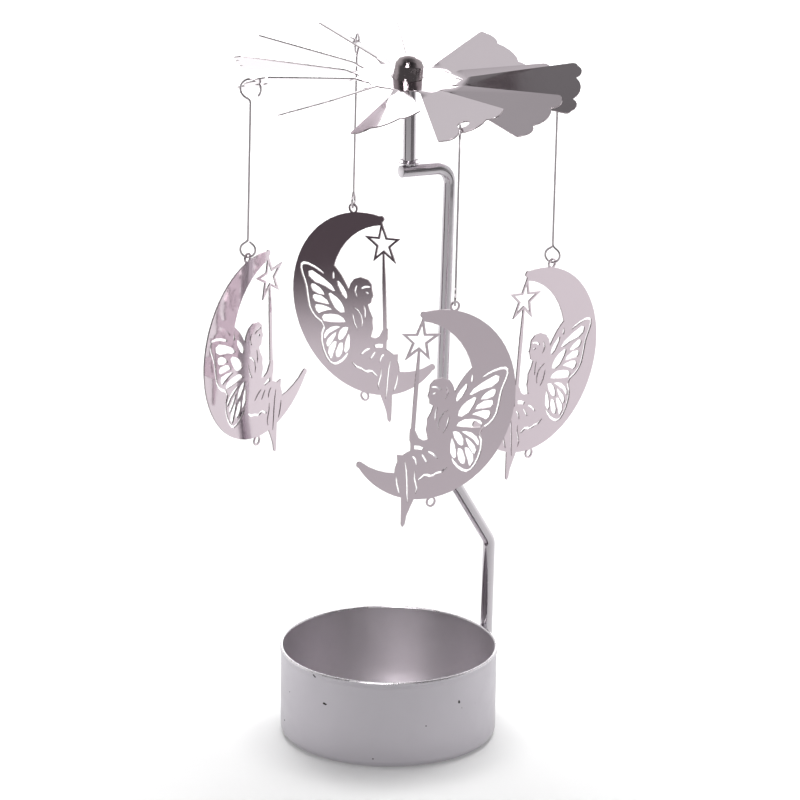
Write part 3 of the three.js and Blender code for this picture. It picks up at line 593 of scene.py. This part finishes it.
def makeFan(made):
    fan = copySheet("fan_rotor", "fan_sheet")
    mesh = fan.data
    for face in mesh.polygons:
        ends = [mesh.vertices[i].co for i in face.vertices]
        shortest = min((ends[i] - ends[i - 1]).length for i in range(len(ends)))
        isEdge = shortest < made["sheet"] * made["edgeSlack"] * mm
        face.material_index = cutEdges if isEdge else broadFaces
    return setSheetInPlace(fan, "fan_rotor", made)


makeFan(fanMade)
print("fan made")

# Hangers: hook, kink, straight wire, kink and eye. Each run is a length, then a bend radius and its turn.
hangerMade = {
    "radius": 0.2, "sides": 14, "degreesEachStep": 9, "heading": 132, "start": (-1.412, -1.2713),
    "runs": (
        (0, 1.9, -284.25), (0.5, 0.828, 62.25), (25.803, 1.0, 53.13), (0.55, 1.4, -286.26), (1.0, 0, 0),
    ),
    "lean": 0.8, "bevel": 0.06, "smooth": 40,
}


def makeHangers(made):
    pattern = bendRod("hanger_pattern", made, made["runs"])
    softenEdges(pattern, made["bevel"])
    for side in sides:
        clearSelection()
        wire = pattern.copy()
        wire.data = pattern.data.copy()
        wire.name = f"hanger_{side}_bent_wire"
        bpy.context.scene.collection.objects.link(wire)
        joint = joints[f"hanger_{side}_swing"]
        outward = math.atan2(joint["axis"][0], -joint["axis"][1])
        turn = Matrix.Rotation(math.radians(made["lean"]), 4, "Y") @ Matrix.Rotation(outward, 4, "Z")
        place = Matrix.Translation(joint["pos_m"]) @ turn
        setInPlace(wire, f"hanger_wire_{side}", ["wire"], place, made["smooth"])
    bpy.data.objects.remove(pattern)


makeHangers(hangerMade)
print("hangers made")

# Charms: the etched sheets, with their edges eased. The walls of their cuts face away from the broad side.
charmMade = {
    "broadWithin": 0.5, "levelWithin": 0.3,
    "bevel": 0.04, "edgeAngle": 60, "bevelSegments": 1, "smooth": 20,
}


def makeCharms(made):
    for side in sides:
        charm = copySheet(f"moon_charm_{side}", f"charm_{side}_sheet", "mirrorSheet")
        mesh = charm.data
        broad = max(mesh.polygons, key=lambda face: face.area).normal.copy()
        for face in mesh.polygons:
            isBroad = abs(face.normal.dot(broad)) > made["broadWithin"]
            face.material_index = broadFaces if isBroad else cutEdges
        setSheetInPlace(charm, f"moon_charm_{side}", made)


makeCharms(charmMade)
print("charms made")


# Studio, in metres. It is seen by the camera, by metal, and through glass, each by its own kind of ray.
def rayKinds(finish):
    kinds = ("Is Camera Ray", "Is Glossy Ray", "Is Transmission Ray")
    return [finish.add("ShaderNodeLightPath", output=kind) for kind in kinds]


# White paper. The glow rows say where a change starts and ends, and the strength there.
floorMade = {
    "size": 12.0,
    "tone": 0.8,
    "mirroredTone": 0.46,
    "glow": (0.2, 0.8, 0.14, 1.0),              # by distance from the object
    "mirroredGlow": (-0.15, 0.2, 0.13, 0.66),   # from front to back
}


def layFloor(made):
    bpy.ops.mesh.primitive_plane_add(size=made["size"], location=(0, 0, 0))
    floor = bpy.context.object
    floor.name = "floor"
    finish = Finish(bpy.data.materials.new("whitePaper"))
    place = finish.add("ShaderNodeTexCoord", output="Object")
    depth = finish.add("ShaderNodeSeparateXYZ", {"Vector": place}, output="Y")
    reach = finish.add("ShaderNodeVectorMath", {0: place}, output="Value", operation="LENGTH")
    seen, mirrored, passed = rayKinds(finish)
    shine = depth.clipped(*made["mirroredGlow"])
    glow = (seen + passed) * reach.clipped(*made["glow"]) + mirrored * shine
    tone = made["tone"] - mirrored * (made["tone"] - made["mirroredTone"])
    paper = finish.add("ShaderNodeBsdfDiffuse", {"Color": tone})
    lit = finish.add("ShaderNodeEmission", {"Color": (1, 1, 1, 1), "Strength": glow})
    floor.data.materials.append(finish.finishWith(finish.add("ShaderNodeAddShader", {0: paper, 1: lit})))


# Dark cards that lie on the table at both sides, out of the photograph's view
sideCards = {
    "size": 1.6,
    "lift": 0.3 * mm,
    "tone": (0.10, 0.085, 0.092),
    "softEdge": 3,
    # First and last bearing from the front, in degrees, where the card starts and is whole, and its strength
    "areas": (
        (-89, -64, 0.190, 0.262, 1.0),
        (21, 88, 0.325, 0.35, 0.75),
    ),
}
# And a narrow one over the fan
narrowCard = {"spot": (0.0078, 0.055, 0.268), "sides": (0.0084, 0.06), "tone": (0.13, 0.115, 0.12)}


# Only metal sees the cards
def showOnlyInMirrors(card):
    card.visible_camera = False
    card.visible_diffuse = False
    card.visible_transmission = False
    card.visible_volume_scatter = False
    card.visible_shadow = False


def layCards(made):
    bpy.ops.mesh.primitive_plane_add(size=made["size"], location=(0, 0, made["lift"]))
    card = bpy.context.object
    card.name = "dark_cards"
    finish = Finish(bpy.data.materials.new("blackCard"))
    place = finish.add("ShaderNodeTexCoord", output="Object")
    x = finish.add("ShaderNodeSeparateXYZ", {"Vector": place}, output="X")
    y = finish.add("ShaderNodeSeparateXYZ", {"Vector": place}, output="Y")
    reach = finish.add("ShaderNodeVectorMath", {0: place}, output="Value", operation="LENGTH")
    bearing = finish.add("ShaderNodeMath", {0: x, 1: 0 - y}, operation="ARCTAN2")    # the front is at -Y
    soft = math.radians(made["softEdge"])
    shade = 0
    for first, last, start, whole, strength in made["areas"]:
        first, last = math.radians(first), math.radians(last)
        between = bearing.clipped(first, first + soft) * (1 - bearing.clipped(last - soft, last))
        shade = shade + between * reach.clipped(start, whole, 0.0, strength)
    clear = finish.add("ShaderNodeBsdfTransparent")
    black = finish.add("ShaderNodeBsdfDiffuse", {"Color": (*made["tone"], 1)})
    patches = finish.add("ShaderNodeMixShader", {0: shade, 1: clear, 2: black})
    card.data.materials.append(finish.finishWith(patches))
    showOnlyInMirrors(card)


def hangCard(made):
    bpy.ops.mesh.primitive_plane_add(size=1, location=made["spot"])
    card = bpy.context.object
    card.name = "narrow_card"
    card.scale = (*made["sides"], 1)
    finish = Finish(bpy.data.materials.new("greyCard"))
    grey = finish.add("ShaderNodeBsdfDiffuse", {"Color": (*made["tone"], 1)})
    card.data.materials.append(finish.finishWith(grey))
    showOnlyInMirrors(card)


# The room is white to the camera, and an even grey light to all that isn't metal. Metal sees it bright
# behind the object, with a brighter low band straight ahead, and dark overhead and behind the camera.
# Each row says where a change starts and ends, and the strength there.
roomMade = {
    "light": 0.30,
    "ahead": (-0.35, 0.25, 0.16, 0.84),
    "overhead": (0.55, 1.05, 1.0, 0.16),
    "bandHeight": (0.25, 0.50, 0.3, 0.0),
    "bandAhead": (0.84, 0.93),
}


def lightRoom(made):
    world = bpy.data.worlds.new("room")
    bpy.context.scene.world = world
    finish = Finish(world)
    look = finish.add("ShaderNodeTexCoord", output="Generated")
    depth = finish.add("ShaderNodeSeparateXYZ", {"Vector": look}, output="Y")
    height = finish.add("ShaderNodeSeparateXYZ", {"Vector": look}, output="Z")
    seen, mirrored, passed = rayKinds(finish)
    bright = depth.clipped(*made["ahead"]) * height.clipped(*made["overhead"])
    bright = bright + height.clipped(*made["bandHeight"]) * depth.clipped(*made["bandAhead"])
    other = (1 - seen) * (1 - mirrored) * (1 - passed)
    strength = seen + passed + mirrored * bright + other * made["light"]
    air = finish.add("ShaderNodeBackground", {"Color": (1, 1, 1, 1), "Strength": strength})
    finish.finishWith(air, "ShaderNodeOutputWorld")


# The top lamp lights the floor and gives the object its shadow. The other two show only as gloss on metal.
lamps = {
    "key_lamp": {
        "spot": (-0.17, -0.68, 0.80), "aim": (0, 0, 0.05), "size": (0.36, 0.9), "power": 9.0,
        "hiddenFrom": "diffuse",
    },
    "top_lamp": {
        "spot": (0.05, 0.42, 1.02), "aim": (0, 0.1, 0), "size": (0.9, 0.7), "power": 16.0,
        "hiddenFrom": "glossy",
    },
    "back_lamp": {
        "spot": (0.11, 1.3, 0.40), "aim": (0, 0, 0.12), "size": (0.82, 0.36), "power": 2.0,
        "hiddenFrom": "diffuse",
    },
}


def hangLamp(name, made):
    bpy.ops.object.light_add(type="AREA", location=made["spot"])
    lamp = bpy.context.object
    lamp.name = name
    lamp.data.shape = "RECTANGLE"
    lamp.data.size, lamp.data.size_y = made["size"]
    lamp.data.energy = made["power"]
    ahead = Vector(made["aim"]) - Vector(made["spot"])
    lamp.rotation_euler = ahead.to_track_quat("-Z", "Y").to_euler()
    lamp.visible_camera = False
    setattr(lamp, "visible_" + made["hiddenFrom"], False)


layFloor(floorMade)
layCards(sideCards)
hangCard(narrowCard)
lightRoom(roomMade)
for lampName, lampMade in lamps.items():
    hangLamp(lampName, lampMade)
print("studio lit")
